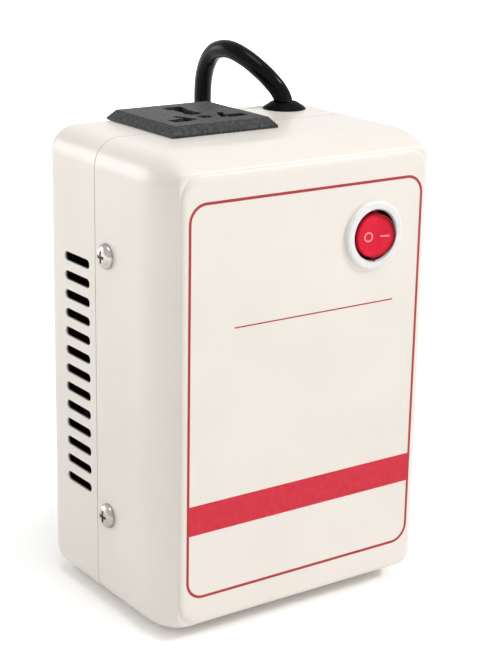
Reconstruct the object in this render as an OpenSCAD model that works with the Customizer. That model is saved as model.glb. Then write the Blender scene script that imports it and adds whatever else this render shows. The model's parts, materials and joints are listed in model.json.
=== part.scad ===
// Travel voltage converter: a pressed two-shell steel case with an autotransformer inside,
// a universal outlet on top, a round rocker switch in front and a mains lead with its plug.
// Millimetres, +Z up, front towards -Y. The origin is under the middle of the body, on the floor.

/* [Case] */
// Width of the case over its side walls
case_w = 108; // [104:0.5:120]
// Depth of the case from the front panel to the back wall
case_d = 78.5; // [77:0.5:90]
// Height of the case without its feet
case_h = 160.5; // [155:0.5:180]
// Thickness of the sheet steel
wall = 1; // [0.8:0.1:1.2]
// Radius of the long corner edges, seen from the front
corner_r = 9; // [8.5:0.5:12]
// Radius of the edges around the back wall
back_r = 7; // [5:0.5:7.5]
// How far the front edge of the front shell draws in
draw_in = 4.5; // [3:0.1:5]
// Depth over which the front edge draws in
draw_depth = 16; // [12:0.5:18]
// Radius where the drawn edge meets the ledge
draw_edge = 1.5; // [1.2:0.1:2]
// Height of the raised front panel
panel_raise = 1; // [0.8:0.1:1.2]
// Width of the ledge around the raised panel
panel_ledge = 0.5; // [0.3:0.1:0.8]
// Width of the round edge of the raised panel, which falls over the panel's whole height
panel_edge = 2; // [1.2:0.1:2.4]
// Corner radius of the raised panel
panel_r = 8; // [5:0.5:12]

/* [Parting line] */
// Depth of the parting line behind the front panel
seam_d = 44.7; // [43:0.1:48]
// Open gap at the parting line
seam_gap = 0.35; // [0.2:0.05:0.6]
// Length of the rear shell's lip that tucks into the front shell
lip_l = 14; // [12:0.5:15]
// Clearance between the lip and the front shell
lip_gap = 0.15; // [0.1:0.05:0.3]

/* [Vents] */
// Number of slots in each side
vent_count = 13; // [5:1:14]
// Length of a slot
vent_l = 16.5; // [10:0.2:18]
// Width of a slot
vent_w = 3.2; // [2:0.1:3.4]
// Distance from one slot to the next
vent_pitch = 6.6; // [5:0.1:6.8]
// Depth of the slots' middle behind the front panel
vent_d = 56.7; // [56:0.1:59]
// Distance of the top slot under the top of the case
vent_drop = 42.5; // [36:0.5:50]

/* [Case screws] */
// Diameter of the pan heads
screw_head = 8.6; // [7:0.1:9]
// Height of the pan heads
screw_head_h = 2.4; // [1.8:0.1:2.8]
// Thread diameter
screw_d = 4; // [3:0.1:4.2]
// Length of the thread under the head
screw_l = 8; // [7:0.5:10]
// Distance of the screws in front of the parting line
screw_back = 7.5; // [6:0.1:8]
// Height of the lower screws above the bottom of the case
screw_low = 33; // [28:0.5:40]
// Height of the upper screws above the bottom of the case
screw_high = 123.5; // [115:0.5:130]
// Clearance of the screws in their holes, on the diameter
screw_play = 0.4; // [0.2:0.1:0.6]
// Width across the flats of the nuts
nut_w = 7; // [6.5:0.1:8]
// Height of the nuts
nut_h = 3.2; // [2.4:0.1:4]

/* [Feet] */
// Height of the rubber feet under the case
foot_h = 1.6; // [1:0.1:4]
// Diameter of the rubber feet
foot_dia = 12; // [8:0.5:14]
// Diameter of the feet's stems
foot_stem = 5; // [4:0.1:6]
// Distance of the feet from the middle of the case
foot_x = 37; // [25:0.5:39]
// Depth of the front feet behind the front panel
foot_front = 23.5; // [22:0.5:24]
// Depth of the back feet behind the front panel
foot_rear = 62; // [55:0.5:64]

/* [Outlet] */
// Width of the square outlet plate
plate_w = 41.8; // [40:0.2:44]
// Thickness of the outlet plate
plate_h = 3.6; // [3:0.1:4.5]
// Height of the plate's upright rim
plate_rim = 0.9; // [0.5:0.1:1.5]
// Width of the plate's bevel
plate_bevel = 2.4; // [1.5:0.1:3.2]
// Distance of the outlet from the middle of the case, to the right
plate_x = -11; // [-16:0.5:-9]
// Depth of the outlet's middle behind the front panel
plate_d = 53.3; // [52.5:0.1:53.7]
// Width of the outlet's body under the plate
body_w = 34.6; // [33:0.2:35]
// Depth of the outlet's body under the top of the case
body_h = 19; // [17:0.5:24]
// Wall of the outlet's body
body_wall = 1.6; // [1.2:0.1:2]
// Depth of the pin passages under the top of the case
pin_depth = 7; // [6:0.5:8]
// Distance of the power holes in front of the outlet's middle
power_row = 10.2; // [10:0.1:11]
// Clearance of the outlet's body in the case
outlet_gap = 0.3; // [0.2:0.05:0.5]

/* [Switch] */
// Distance of the switch from the middle of the case, to the right
switch_x = 26; // [15:0.1:30]
// Distance of the switch under the top of the case
switch_drop = 32; // [29:0.1:40]
// Diameter of the switch's bezel
bezel_dia = 23; // [22:0.5:25]
// Height of the bezel on the panel
bezel_h = 1.6; // [1.4:0.1:2.4]
// Width of the bezel's round outer edge
bezel_edge = 0.8; // [0.5:0.1:1.2]
// Diameter of the switch's barrel
barrel_dia = 19.6; // [19.4:0.1:20.5]
// Depth of the switch's barrel behind the panel
barrel_l = 16; // [15.5:0.5:20]
// Diameter of the well that the rocker sits in
well_dia = 17; // [16.8:0.1:17.2]
// Depth of the well behind the panel
well_l = 10.5; // [10.3:0.1:11]
// Radius of the rocker's ball-shaped sides
rocker_r = 7.6; // [7.4:0.1:8.2]
// Height of the rocker's middle over its axle
rocker_mid = 2.6; // [2:0.1:2.8]
// Tilt of the rocker either way
rocker_tilt = 12; // [9:0.5:12]
// Slope of each half of the rocker's face, down to its middle
rocker_vee = 5; // [3:0.5:8]
// Tilt of the contact lever either way
lever_tilt = 6; // [4:0.5:6]
// Diameter of the rocker's axle
axle_dia = 2.4; // [1.8:0.1:2.4]
// Clearance of the axle in its bores, on the diameter
axle_play = 0.2; // [0.1:0.05:0.3]

/* [Transformer] */
// Width of the laminated core
core_w = 66; // [54:1:66]
// Height of the lamination stack
stack_h = 33; // [20:1:36]
// Height of the transformer's middle above the bottom of the case
core_z = 46; // [44:0.5:52]
// Thickness of the core's steel frame
frame_t = 1.2; // [1:0.1:1.5]
// Length of the frame's flanges
flange_l = 10; // [9.5:0.5:10.5]
// Distance between the screws in one flange
flange_pitch = 20; // [12:1:20]
// Wall of the bobbin
bobbin_t = 1.2; // [0.8:0.1:1.4]
// Thickness of the wound wire
wind_t = 8; // [5:0.5:8]
// Thickness of the tape around the winding
tape_t = 0.4; // [0.2:0.1:0.6]

/* [Lead and plug] */
// Diameter of the mains lead
cord_dia = 6.6; // [6:0.1:6.8]
// Distance of the gland from the middle of the case, to the right
gland_x = 35; // [34.9:0.05:35.1]
// Depth of the gland behind the front panel
gland_d = 63.25; // [63:0.05:63.4]
// Diameter of the gland's flange
gland_dia = 16; // [14:0.5:18]
// Height of the gland above the case
gland_h = 3.2; // [2.5:0.1:4]
// Number of turns in the coil
coil_turns = 3.75; // [2.75:1:3.75]
// Radius of the coil at its outer turn
coil_r = 42; // [42:0.5:43]
// Width of the plug's body
plug_w = 35; // [33:0.5:36]
// Thickness of the plug's body
plug_t = 13.7; // [13:0.1:14]
// Length of the plug's body
plug_l = 36; // [30:1:40]
// Diameter of the plug's pins
pin_dia = 4; // [4:0.1:4.8]
// Length of the plug's pins
pin_l = 19; // [17:0.5:20]
// Distance between the plug's pins
pin_pitch = 18.6; // [17.5:0.1:19]

/* [Hidden] */
$fn = 48;

// Places of the case in the frame
vee_tan = tan(rocker_vee);
tip_x = (sqrt(rocker_r^2*(1 + vee_tan^2) - rocker_mid^2) - rocker_mid*vee_tan)/(1 + vee_tan^2);
tip_z = rocker_mid + tip_x*vee_tan;
rocker_reach = tip_x*sin(rocker_tilt) + tip_z*cos(rocker_tilt);
front_y = -(case_d + screw_head_h - rocker_reach)/2;
top_z = foot_h + case_h;
mid_z = foot_h + case_h/2;
back_in = front_y + case_d - wall;
switch_z = top_z - switch_drop;

// Profile of the drawn edge
draw_r = (draw_depth^2 + draw_in^2)/(2*draw_in);
draw_end = panel_raise + draw_depth;
edge_mid = [
    corner_r - draw_r + sqrt((draw_r - draw_edge)^2 - (draw_depth - draw_edge)^2), panel_raise + draw_edge
];
panel_w = case_w - 2*(draw_in + panel_ledge);
panel_h = case_h - 2*(draw_in + panel_ledge);

// Small clearances and cuts
touch = 0.05;
cut = 20;

// Outlet
plate_y = front_y + plate_d;
slot_neck = 2.2;
power_slot = 4.6;
power_in = 7;
power_out = 14.8;
round_dia = 5.4;
slant_l = 9;
slant_mid = [7.2, 3];
earth_slot = 4.8;
earth_low = -3;
earth_high = 13.4;
earth_head = [7.4, 5];
screw_hole = [0, -8];
base_t = 2.5;
contact_x = 10;
earth_y = 6;
clip_t = 0.7;
clip_w = 5;
tab_l = 6;
tab_w = 3;

// Switch
floor_z = -well_l;
lever_z = floor_z + 1.1;
lever_t = 0.5;
lever_l = 12;
lever_w = 4;
lever_r = 0.6;
plunger_tip = 8.85;
leg_w = 5;
leg_z = 4.6;
lamp_dia = 3;
lamp_l = 8;
lamp_y = 5.6;
shelf_z = 2.2;
tab_pitch = 5;
tab_t = 0.8;
tab_h = 4.8;
tab_back = 8;

// Transformer: the standard lamination has legs of a sixth of its width
leg = core_w/6;
core_back = back_in;
core_front = core_back - 5*leg;
window_l = 3*leg;
window_mid = core_front + leg + window_l/2;
core_mid_z = foot_h + core_z;
bobbin_gap = 0.3;
bobbin_x = leg + bobbin_gap + bobbin_t;
bobbin_z = stack_h/2 + bobbin_gap + bobbin_t;
bobbin_l = window_l - 0.4;
bobbin_flange = 9.2;
wire_gap = 0.1;
wind_r = 5;
wind_l = bobbin_l - 2*bobbin_t - 2*wire_gap;
wind_top = core_mid_z + bobbin_z + wire_gap + wind_t;
tape_top = wind_top + wire_gap + tape_t;
fuse_dia = 4;
fuse_l = 12;
fuse_lead = 3;
fuse_at = [14, window_mid - 6, tape_top + fuse_dia/2];

// Lead: the route is chosen by hand from the gland to the coil, then from the coil to the plug
gland_y = front_y + gland_d;
gland_neck = 11.8;
gland_rim = 0.8;
gland_lip = 1.2;
bore_gap = 0.3;
gland_in = 2.4;
cord_in = 22;
cord_top = top_z - wall - gland_in - 2*touch;
lead_route = [
    [35, 25.1, 158.6], [35, 25.1, 161.5], [34.9, 25.1, 164], [33.8, 25.9, 167.5], [31, 28.1, 172],
    [28, 32.1, 176.3], [25.6, 37.7, 179.7], [24.2, 43.9, 181.4], [23.9, 49.4, 181],
    [24.2, 54.4, 179.2], [24.7, 58.9, 175.4], [25.6, 62.6, 170.4], [26.8, 65.3, 164.8],
    [28.2, 67.5, 158.8], [30, 69.9, 150], [32, 72.1, 139], [33.5, 73.5, 124], [34.2, 74.1, 104],
    [34.5, 74.4, 84], [35, 74.8, 64], [35, 75, 44], [35, 76.5, 32], [35, 81, 22],
    [35, 88.5, 15], [35, 95, 12.3], [35, 100, 11.8]
];
tail_route = [
    [66, 68, 4.7], [61, 68, 5.2], [56, 68, 6], [51.5, 68, 6.7], [47.5, 68, 6.9], [45, 68, 6.9]
];
coil_start = [35, 110, 11.8];
coil_pitch = 7.1;
layer_step = 7.1;
rings_per_turn = 24;
coil_sides = 6;
cord_sides = 10;
relief_l = 18;
relief_dia = 10;
tie_angle = 0;
tie_t = 0.7;
tie_w = 7;
tie_gap = 0.5;
wire_dia = 2;
wire_sides = 6;

// Helpers

// A tube of flat rings along a list of points, with the rings kept from twisting
function unit(v) = v/norm(v);
function way(p, i) = unit(p[min(i + 1, len(p) - 1)] - p[max(i - 1, 0)]);
function carry(u, t) = unit(u - (u*t)*t);
function ring_ups(p, i = 0, u = [1, 0.1, 0.2]) =
    i == len(p) ? [] : let (v = carry(u, way(p, i))) concat([v], ring_ups(p, i + 1, v));
module tube(p, d, sides) {
    ups = ring_ups(p);
    n = len(p);
    points = [for (i = [0:n - 1]) let (a = ups[i], b = cross(way(p, i), a))
        for (k = [0:sides - 1]) p[i] + d/2*(cos(360*k/sides)*a + sin(360*k/sides)*b)];
    sides_of = [for (i = [0:n - 2], k = [0:sides - 1])
        let (a = i*sides + k, b = i*sides + (k + 1) % sides)
        each [[a, b + sides, b], [a, a + sides, b + sides]]];
    start_cap = [for (k = [1:sides - 2]) [0, k, k + 1]];
    last = (n - 1)*sides;
    end_cap = [for (k = [1:sides - 2]) [last, last + k + 1, last + k]];
    polyhedron(points, concat(sides_of, start_cap, end_cap));
}

// Points on a smooth curve through a list, with a few steps in each stretch
function curve_at(a, b, c, d, t) =
    0.5*((2*b) + (c - a)*t + (2*a - 5*b + 4*c - d)*t^2 + (3*b - a - 3*c + d)*t^3);
function smooth(p, steps) = concat(
    [for (i = [0:len(p) - 2], s = [0:steps - 1])
        curve_at(p[max(i - 1, 0)], p[i], p[i + 1], p[min(i + 2, len(p) - 1)], s/steps)],
    [p[len(p) - 1]]);

module wire(p) {
    tube(smooth(p, 3), wire_dia, wire_sides);
}

// Section through a case wall: x runs out from the corner's centre and y back from the front panel
module wall_section(inset) {
    edge_end = draw_end - (draw_depth - draw_edge)*(draw_r - inset)/(draw_r - draw_edge);
    intersection() {
        translate([corner_r - draw_r, draw_end])
            circle(draw_r - inset, $fn = 180);
        translate([0, edge_end])
            square([corner_r, draw_end - edge_end]);
    }
    translate(edge_mid)
        circle(draw_edge - inset);
    translate([0, panel_raise + inset])
        square([edge_mid[0], draw_edge - inset]);
    translate([0, draw_end])
        square([corner_r - inset, case_d - back_r - draw_end]);
    translate([0, case_d - back_r])
        square([corner_r - back_r, back_r - inset]);
    translate([corner_r - back_r, case_d - back_r])
        quarter(back_r - inset);
}

// Section through the rim of the raised panel
module panel_section(inset) {
    rho = panel_r - inset;
    round_w = panel_edge - inset;
    round_h = max(panel_raise - inset, 0);
    translate([0, inset + round_h])
        square([rho, panel_raise + wall - round_h]);
    if (round_h > 0) {
        translate([0, inset])
            square([rho - round_w, round_h]);
        translate([rho - round_w, inset + round_h])
            scale([round_w, -round_h])
                quarter(1);
    }
}

module quarter(r) {
    intersection() {
        circle(r);
        square(r);
    }
}

// A soft block swept from a section: four turned corners, four sides and a core
module swept(w, h, r, from, to) {
    half_w = w/2 - r;
    half_h = h/2 - r;
    for (a = [0, 90, 180, 270])
        translate([half_w*(a == 0 || a == 270 ? 1 : -1), half_h*(a < 180 ? 1 : -1), 0])
            rotate(a)
                rotate_extrude(angle = 90)
                    children();
    for (a = [0, 90, 180, 270]) {
        across = a % 180 == 0;
        rotate(a)
            translate([across ? half_w : half_h, 0, 0])
                rotate([90, 0, 0])
                    linear_extrude(across ? 2*half_h : 2*half_w, center = true)
                        children();
    }
    translate([-half_w, -half_h, from])
        cube([2*half_w, 2*half_h, to - from]);
}

// The whole case as a solid, drawn in by an inset
module case_form(inset) {
    translate([0, front_y, mid_z])
        rotate([-90, 0, 0]) {
            swept(case_w, case_h, corner_r, panel_raise + inset, case_d - inset)
                wall_section(inset);
            swept(panel_w, panel_h, panel_r, inset, panel_raise + inset + wall)
                panel_section(inset);
        }
}

// A straight ring with the case's outline, from one depth to another
module case_ring(outer, inner, from, to) {
    difference() {
        case_block(outer, from, to);
        case_block(inner, from - cut, to + cut);
    }
}
module case_block(inset, from, to) {
    w = case_w - 2*inset;
    h = case_h - 2*inset;
    r = corner_r - inset;
    translate([0, front_y + from, mid_z])
        rotate([-90, 0, 0])
            linear_extrude(to - from) {
                square([w - 2*r, h], center = true);
                for (s = [-1, 1])
                    translate([s*(w/2 - r/2), 0])
                        square([r, h - 2*r], center = true);
                for (a = [0, 90, 180, 270])
                    translate([(w/2 - r)*(a == 0 || a == 270 ? 1 : -1), (h/2 - r)*(a < 180 ? 1 : -1)])
                        rotate(a)
                            quarter(r);
            }
}

module slab(from, to) {
    translate([-case_w, front_y + from, -cut])
        cube([2*case_w, to - from, case_h + 3*cut]);
}

// Places of the four side screws: side and height
side_screw_d = seam_d - screw_back;
module at_side_screws() {
    for (s = [-1, 1], z = [screw_low, screw_high])
        translate([s*case_w/2, front_y + side_screw_d, foot_h + z])
            rotate([0, s*90, 0])
                children();
}
module at_feet() {
    for (s = [-1, 1], d = [foot_front, foot_rear])
        translate([s*foot_x, front_y + d, foot_h])
            children();
}
module at_frame_screws() {
    for (s = [-1, 1], h = [-1, 1])
        translate([s*(core_w/2 + frame_t + flange_l/2), front_y + case_d, core_mid_z + h*flange_pitch/2])
            rotate([-90, 0, 0])
                children();
}

// Pan head screw along -Z with its seat at z = 0 and a cross recess
module pan_screw(length) {
    crown = 0.9;
    difference() {
        union() {
            rotate_extrude()
                union() {
                    square([screw_head/2 - crown, screw_head_h]);
                    square([screw_head/2, screw_head_h - crown]);
                    translate([screw_head/2 - crown, screw_head_h - crown])
                        quarter(crown);
                }
            translate([0, 0, -length])
                cylinder(d = screw_d, h = length + touch);
        }
        for (a = [0, 90])
            rotate(a)
                translate([-screw_head*0.28, -0.45, screw_head_h - 1.2])
                    cube([screw_head*0.56, 0.9, cut]);
    }
}

module hex_nut() {
    difference() {
        cylinder(d = nut_w/cos(30), h = nut_h, $fn = 6);
        translate([0, 0, -1])
            cylinder(d = screw_d + 0.1, h = nut_h + 2);
    }
}

module vent_cuts() {
    for (s = [-1, 1], i = [0:vent_count - 1])
        translate([s*case_w/2, front_y + vent_d, top_z - vent_drop - i*vent_pitch])
            rotate([90, 0, 90])
                linear_extrude(4*wall + 1, center = true) {
                    square([vent_l - vent_w, vent_w], center = true);
                    for (e = [-1, 1])
                        translate([e*(vent_l - vent_w)/2, 0])
                            intersection() {
                                circle(vent_w/2);
                                translate([e*vent_w/2, 0])
                                    square([vent_w, vent_w], center = true);
                            }
                }
}

module outlet_cut() {
    w = body_w + 2*outlet_gap;
    translate([plate_x - w/2, plate_y - w/2, top_z - 5*wall])
        cube([w, w, cut]);
}

// Case

module front_shell() {
    color("#ece6dc")
        difference() {
            intersection() {
                difference() {
                    case_form(0);
                    case_form(wall);
                }
                slab(-cut, seam_d - seam_gap);
            }
            outlet_cut();
            at_side_screws()
                cylinder(d = screw_d + screw_play, h = 2*cut, center = true);
            at_feet()
                cylinder(d = foot_stem + 2*touch, h = 4*wall, center = true);
            translate([switch_x, front_y, switch_z])
                rotate([90, 0, 0])
                    cylinder(d = barrel_dia + 2*outlet_gap, h = 4*(wall + panel_raise), center = true);
        }
}

module rear_shell() {
    lip_out = wall + lip_gap;
    lip_in = lip_out + wall;
    color("#e8e2d8")
        difference() {
            union() {
                intersection() {
                    difference() {
                        case_form(0);
                        case_form(wall);
                    }
                    slab(seam_d, case_d + cut);
                }
                case_ring(wall/2, lip_in, seam_d, seam_d + wall);
                case_ring(lip_out, lip_in, seam_d - lip_l, seam_d + wall/2);
            }
            outlet_cut();
            vent_cuts();
            at_side_screws()
                cylinder(d = screw_d + screw_play, h = 2*cut, center = true);
            at_feet()
                cylinder(d = foot_stem + 2*touch, h = 4*wall, center = true);
            at_frame_screws()
                cylinder(d = screw_d + screw_play, h = 4*wall, center = true);
            translate([gland_x, gland_y, top_z])
                cylinder(d = gland_neck + 4*touch, h = 6*wall, center = true);
        }
}

module case_screws() {
    color("silver")
        at_side_screws()
            pan_screw(screw_l);
}

module case_nuts() {
    color("lightgray")
        at_side_screws()
            translate([0, 0, -2*wall - lip_gap - nut_h])
                hex_nut();
}

// Push-in rubber foot: a domed pad below, a stem through the wall and a barb inside
module feet() {
    barb = 1.2;
    color("#2a2a2a")
        at_feet()
            rotate_extrude()
                polygon([
                    [0, -foot_h], [foot_dia/2 - 1, -foot_h], [foot_dia/2, 0], [foot_stem/2, 0],
                    [foot_stem/2, wall], [foot_stem/2 + barb, wall], [foot_stem/2 - 0.3, wall + 2.6],
                    [0, wall + 2.6]
                ]);
}

// Outlet

// One power hole: a flat slot for wide pins, a round one and a slanted slot for blades
module power_hole() {
    translate([power_in, -power_row - power_slot/2])
        square([power_out - power_in, power_slot]);
    translate([power_in + round_dia/2, -power_row])
        circle(d = round_dia);
    translate([slant_mid[0], -power_row + slant_mid[1]])
        rotate(-25)
            square([slot_neck, slant_l], center = true);
}

module earth_hole() {
    translate([-earth_slot/2, earth_low])
        square([earth_slot, earth_high - earth_low]);
    translate([-earth_head[0]/2, earth_high - earth_head[1]])
        square(earth_head);
    translate([0, earth_low + round_dia/2])
        circle(d = round_dia + 0.6);
}

module outlet_holes() {
    power_hole();
    mirror([1, 0])
        power_hole();
    earth_hole();
}

// Faceplate with its skirt: bevelled rim, pin passages, post for the screw and two snap hooks
module socket_plate() {
    hook = 1;
    color("#3d3d42")
        translate([plate_x, plate_y, top_z])
            difference() {
                union() {
                    intersection() {
                        rotate([90, 0, 0])
                            linear_extrude(2*plate_w, center = true)
                                plate_section();
                        rotate([90, 0, 90])
                            linear_extrude(2*plate_w, center = true)
                                plate_section();
                    }
                    difference() {
                        translate([-body_w/2, -body_w/2, -body_h])
                            cube([body_w, body_w, body_h + plate_rim]);
                        translate([body_wall - body_w/2, body_wall - body_w/2, -body_h - 1])
                            cube([body_w - 2*body_wall, body_w - 2*body_wall, body_h + 1 - pin_depth]);
                    }
                    for (s = [-1, 1])
                        translate([s*body_w/2, body_w/2 - 10, 0])
                            rotate([90, 0, 0])
                                linear_extrude(8, center = true)
                                    polygon([
                                        [-s*body_wall/2, -wall - 2*touch], [s*hook, -wall - 2*touch],
                                        [0, -wall - 6], [-s*body_wall/2, -wall - 6]
                                    ]);
                    translate([screw_hole[0], screw_hole[1], -body_h + base_t])
                        cylinder(d = 6.4, h = body_h);
                }
                translate([0, 0, -cut])
                    linear_extrude(2*cut)
                        outlet_holes();
                translate([screw_hole[0], screw_hole[1], plate_h - 1.6])
                    cylinder(d = 5, h = cut);
                translate([screw_hole[0], screw_hole[1], -cut])
                    cylinder(d = 2.8, h = 2*cut);
            }
}

// Section of the plate with a soft shoulder
module plate_section() {
    half = plate_w/2;
    polygon([
        [-half, touch], [half, touch], [half, plate_rim], [half - plate_bevel, plate_h],
        [plate_bevel - half, plate_h], [-half, plate_rim]
    ]);
}

module socket_base() {
    inner = body_w - 2*body_wall - 2*touch;
    color("#c9c4b8")
        translate([plate_x, plate_y, top_z - body_h])
            difference() {
                translate([-inner/2, -inner/2, 0])
                    cube([inner, inner, base_t]);
                translate([screw_hole[0], screw_hole[1], -1])
                    cylinder(d = 3.2, h = cut);
                for (p = [[-contact_x, -power_row], [contact_x, -power_row], [0, earth_y]])
                    translate([p[0], p[1], 0])
                        cube([tab_w + 0.4, clip_t + 0.4, 3*base_t], center = true);
            }
}

module socket_screw() {
    color("silver")
        translate([plate_x + screw_hole[0], plate_y + screw_hole[1], top_z + plate_h - 1.6]) {
            difference() {
                cylinder(d = 4.6, h = 1);
                translate([-2, -0.3, 0.5])
                    cube([4, 0.6, 1]);
            }
            translate([0, 0, -body_h - plate_h - 0.4])
                cylinder(d = 2.6, h = body_h + plate_h + 0.4 + touch);
        }
}

// Sprung brass clip: a folded tulip of two leaves on a foot, with a solder tab through the base
module contact(gap, along) {
    leaf_h = body_h - pin_depth - base_t - 1;
    rotate([0, 0, along]) {
        for (s = [-1, 1])
            translate([s*(gap/2 + clip_t/2), 0, leaf_h/2 + clip_t/2])
                cube([clip_t, clip_w, leaf_h - clip_t], center = true);
        translate([-(gap/2 + clip_t), -clip_w/2, 0])
            cube([gap + 2*clip_t, clip_w, clip_t]);
    }
    translate([-tab_w/2, -clip_t/2, -base_t - tab_l])
        cube([tab_w, clip_t, base_t + tab_l + touch]);
}
module at_contact(x, y) {
    translate([plate_x + x, plate_y + y, top_z - body_h + base_t])
        children();
}
module live_contact() {
    color("goldenrod")
        at_contact(contact_x, -power_row)
            contact(3.4, 90);
}
module neutral_contact() {
    color("goldenrod")
        at_contact(-contact_x, -power_row)
            contact(3.4, 90);
}
module earth_contact() {
    color("goldenrod")
        at_contact(0, earth_y)
            contact(3.6, 0);
}

// Switch, drawn with x to the right, y up and z out of the panel
module at_switch() {
    translate([switch_x, front_y, switch_z])
        rotate([90, 0, 0])
            children();
}

module switch_body() {
    well_r = well_dia/2;
    rim_r = bezel_dia/2;
    rim_round = [for (a = [0:15:90])
        [rim_r - bezel_edge*(1 - cos(a)), bezel_h - bezel_edge*(1 - sin(a))]];
    color("white")
        at_switch()
            difference() {
                union() {
                    rotate_extrude()
                        polygon([
                            [well_r - 0.5, 0], [rim_r, 0], each rim_round,
                            [well_r + 0.5, bezel_h], [well_r, bezel_h - 0.6], [well_r - 0.5, bezel_h - 0.6]
                        ]);
                    translate([0, 0, -barrel_l])
                        cylinder(d = barrel_dia, h = barrel_l + touch);
                    for (s = [-1, 1])
                        scale([s, 1, 1])
                            rotate([90, 0, 0])
                                linear_extrude(6, center = true)
                                    polygon([
                                        [barrel_dia/2 - 1, -wall - 0.2], [barrel_dia/2 + 0.7, -wall - 0.2],
                                        [barrel_dia/2 - 0.2, -wall - 5], [barrel_dia/2 - 1, -wall - 5]
                                    ]);
                }
                difference() {
                    translate([0, 0, floor_z])
                        cylinder(d = well_dia, h = cut);
                    translate([-well_r, lamp_y - lamp_dia/2, floor_z - 1])
                        cube([well_dia, well_r, shelf_z + 1]);
                }
                rotate([90, 0, 0])
                    cylinder(d = axle_dia + axle_play, h = barrel_dia - 0.4, center = true);
                for (i = [-1:1])
                    translate([i*tab_pitch, 0, -barrel_l])
                        cube([tab_t + 0.2, tab_h + 0.2, 2*barrel_l], center = true);
            }
}

// Rocker: a ball cut by a shallow V on top and a flat below, with its axle and a leg
module switch_rocker() {
    color("#d8152c")
        at_switch()
            rotate([0, -rocker_tilt, 0])
                difference() {
                    union() {
                        intersection() {
                            sphere(rocker_r);
                            rotate([90, 0, 0])
                                linear_extrude(3*rocker_r, center = true)
                                    polygon([
                                        [-9, rocker_mid + 9*vee_tan], [0, rocker_mid],
                                        [9, rocker_mid + 9*vee_tan], [9, -2.2], [-9, -2.2]
                                    ]);
                        }
                        rotate([90, 0, 0])
                            cylinder(d = axle_dia, h = barrel_dia - 1, center = true);
                        translate([-leg_w/2, -leg_w/2, -leg_z])
                            cube([leg_w, leg_w, leg_z]);
                    }
                    translate([0, 0, -leg_z - 1])
                        cylinder(d = 2.8, h = 4);
                }
}

module switch_plunger() {
    tip_r = 1.3;
    color("ivory")
        at_switch()
            rotate([0, -rocker_tilt, 0]) {
                translate([0, 0, tip_r - plunger_tip])
                    cylinder(r = tip_r, h = plunger_tip - tip_r - leg_z + 3);
                translate([0, 0, tip_r - plunger_tip])
                    sphere(tip_r);
            }
}

module switch_lever() {
    color("peru")
        at_switch()
            translate([0, 0, lever_z])
                rotate([0, lever_tilt, 0]) {
                    cube([lever_l, lever_w, lever_t], center = true);
                    intersection() {
                        rotate([90, 0, 0])
                            cylinder(r = lever_r, h = lever_w, center = true);
                        translate([0, 0, -lever_r])
                            cube([2*lever_r, lever_w, 2*lever_r], center = true);
                    }
                }
}

module switch_terminals() {
    color("lightgray")
        at_switch()
            for (i = [-1:1])
                translate([i*tab_pitch, 0, 0]) {
                    top = i == 0 ? lever_z - lever_r - touch : floor_z - 0.1;
                    translate([-tab_t/2, -tab_h/2, -barrel_l - tab_back])
                        cube([tab_t, tab_h, top + barrel_l + tab_back]);
                }
}

module switch_lamp() {
    color("orange")
        at_switch()
            translate([0, lamp_y, floor_z + shelf_z + lamp_dia/2])
                rotate([0, 90, 0]) {
                    cylinder(d = lamp_dia, h = lamp_l - lamp_dia, center = true);
                    for (s = [-1, 1])
                        translate([0, 0, s*(lamp_l - lamp_dia)/2])
                            sphere(d = lamp_dia);
                }
}

// Lead entry

module cord_gland() {
    bore = cord_dia/2 + bore_gap;
    flare_w = gland_dia/2 - bore - gland_lip;
    flare_h = gland_h - gland_rim;
    flare = [for (a = [0:15:90]) [gland_dia/2 - flare_w*sin(a), gland_h - flare_h*cos(a)]];
    color("#1b1b1b")
        translate([gland_x, gland_y, top_z])
            rotate_extrude()
                polygon([
                    [bore, -wall - gland_in], [gland_neck/2 + 0.4, -wall - gland_in],
                    [gland_neck/2 + 1.4, -wall - touch], [gland_neck/2, -wall - touch],
                    [gland_neck/2, touch], [gland_dia/2, touch], each flare, [bore + 0.5, gland_h], [bore, 0]
                ]);
}

module cord_end() {
    color("#161616")
        translate([gland_x, gland_y, cord_top - cord_in])
            cylinder(d = cord_dia, h = cord_in);
}

// Transformer

module core_e() {
    color("#8a8a8d")
        translate([0, core_front, core_mid_z - stack_h/2])
            difference() {
                linear_extrude(stack_h)
                    polygon([
                        [-3*leg, 0], [3*leg, 0], [3*leg, 4*leg], [2*leg, 4*leg], [2*leg, leg], [leg, leg],
                        [leg, 4*leg], [-leg, 4*leg], [-leg, leg], [-2*leg, leg], [-2*leg, 4*leg],
                        [-3*leg, 4*leg]
                    ]);
                for (s = [-1, 1])
                    translate([s*2.5*leg, leg/2, -1])
                        cylinder(d = 3.6, h = stack_h + 2);
            }
}

module core_i() {
    color("#8a8a8d")
        translate([0, core_front + 4*leg, core_mid_z - stack_h/2])
            difference() {
                translate([-3*leg, 0, 0])
                    cube([6*leg, leg, stack_h]);
                for (s = [-1, 1])
                    translate([s*2.5*leg, leg/2, -1])
                        cylinder(d = 3.6, h = stack_h + 2);
            }
}

// A box ring around the core's middle leg, open along the depth
module leg_ring(outer_x, outer_z, r, inner_x, inner_z, inner_r, length) {
    translate([0, window_mid, core_mid_z])
        rotate([90, 0, 0])
            linear_extrude(length, center = true)
                difference() {
                    soft_square(outer_x, outer_z, r);
                    soft_square(inner_x, inner_z, inner_r);
                }
}
module soft_square(half_x, half_z, r) {
    square([2*half_x, 2*(half_z - r)], center = true);
    if (r > 0) {
        for (s = [-1, 1])
            translate([0, s*(half_z - r/2)])
                square([2*(half_x - r), r], center = true);
        for (a = [0, 90, 180, 270])
            translate([(half_x - r)*(a == 0 || a == 270 ? 1 : -1), (half_z - r)*(a < 180 ? 1 : -1)])
                rotate(a)
                    quarter(r);
    }
}

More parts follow.
